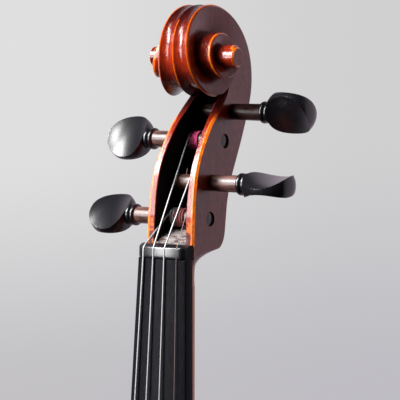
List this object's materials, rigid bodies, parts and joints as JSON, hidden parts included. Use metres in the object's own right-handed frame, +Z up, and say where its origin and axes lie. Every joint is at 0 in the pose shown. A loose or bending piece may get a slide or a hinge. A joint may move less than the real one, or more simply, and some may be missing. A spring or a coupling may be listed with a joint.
{
  "type": "violin",
  "caption": "Varnished wooden violin with carved scroll, pegs, strings, arched plates, bridge and tailpiece; pegs and a fine tuner turn to tune the strings.",
  "frame": {"origin": "where the nut meets the fingerboard, in the middle of the neck's glued face, where a hanger's yoke takes the neck", "axes": "+X to the treble side, +Y to the back, +Z up along the body to the scroll"},
  "size_m": [0.208, 0.1121, 0.5983],
  "materials": {
    "varnished_head": "gloss red-brown varnish",
    "varnished_maple": "gloss red-brown varnish",
    "varnished_spruce": "gloss red-brown varnish",
    "bare_wood": "bare",
    "bridge_maple": "bare, sanded",
    "ebony": "satin black",
    "peg_ebony": "polished black, brown shafts",
    "string_wire": "wound wire",
    "silk": "wrapped thread",
    "loop_nylon": "matt black",
    "tuner_steel": "plated"
  },
  "bodies": {
    "violin": {"neck": "varnished_head", "nut": "ebony", "fingerboard": "ebony", "string_g": "string_wire", "string_d": "string_wire", "string_a": "string_wire", "string_e": "string_wire", "top_plate": "varnished_spruce", "back_plate": "varnished_maple", "rib_upper_bass": "varnished_maple", "rib_upper_treble": "varnished_maple", "rib_middle_bass": "varnished_maple", "rib_middle_treble": "varnished_maple", "rib_lower_bass": "varnished_maple", "rib_lower_treble": "varnished_maple", "upper_block": "bare_wood", "lower_block": "bare_wood", "block_upper_bass": "bare_wood", "block_upper_treble": "bare_wood", "block_lower_bass": "bare_wood", "block_lower_treble": "bare_wood", "linings_front": "bare_wood", "linings_back": "bare_wood", "bass_bar": "bare_wood", "sound_post": "bare_wood", "bridge": "bridge_maple", "saddle": "ebony", "tailpiece": "ebony", "tail_loop": "loop_nylon", "end_button": "ebony", "tuner_frame": "tuner_steel"},
    "peg_g": {"peg_g": "peg_ebony", "winding_g": "silk"},
    "peg_d": {"peg_d": "peg_ebony", "winding_d": "silk"},
    "peg_a": {"peg_a": "peg_ebony", "winding_a": "string_wire"},
    "peg_e": {"peg_e": "peg_ebony", "winding_e": "string_wire"},
    "tuner_lever": {"tuner_lever": "tuner_steel"},
    "tuner_screw": {"tuner_screw": "tuner_steel"},
    "tuner_knob": {"tuner_knob": "tuner_steel"}
  },
  "joints": [
    {"name": "peg_g_turn", "type": "hinge", "parent": "violin", "child": "peg_g", "pos_m": [0, 0.0148, 0.01502], "axis": [1, 0, 0], "continuous": true},
    {"name": "peg_d_turn", "type": "hinge", "parent": "violin", "child": "peg_d", "pos_m": [0, 0.03065, 0.04643], "axis": [1, 0, 0], "continuous": true},
    {"name": "peg_a_turn", "type": "hinge", "parent": "violin", "child": "peg_a", "pos_m": [0, 0.03865, 0.0583], "axis": [1, 0, 0], "continuous": true},
    {"name": "peg_e_turn", "type": "hinge", "parent": "violin", "child": "peg_e", "pos_m": [0, 0.01852, 0.03], "axis": [1, 0, 0], "continuous": true},
    {"name": "tuner_screw_travel", "type": "slide", "parent": "violin", "child": "tuner_screw", "axis": [0, 0.9741, 0.2262], "range_m": [-0.00075, 0.00075]},
    {"name": "tuner_knob_turn", "type": "hinge", "parent": "tuner_screw", "child": "tuner_knob", "pos_m": [0.01507, -0.04087, -0.39138], "axis": [0, 0.9741, 0.2262], "range_deg": [-546, 546]},
    {"name": "tuner_lever_swing", "type": "hinge", "parent": "violin", "child": "tuner_lever", "pos_m": [0.01507, -0.04105, -0.3791], "axis": [1, 0, 0], "range_deg": [-3.62, 3.62]}
  ],
  "couplings": [
    {"joint": "tuner_knob_turn", "follows": "tuner_screw_travel", "rad_per_m": 12566},
    {"joint": "tuner_lever_swing", "follows": "tuner_screw_travel", "rad_per_m": 83.333}
  ]
}
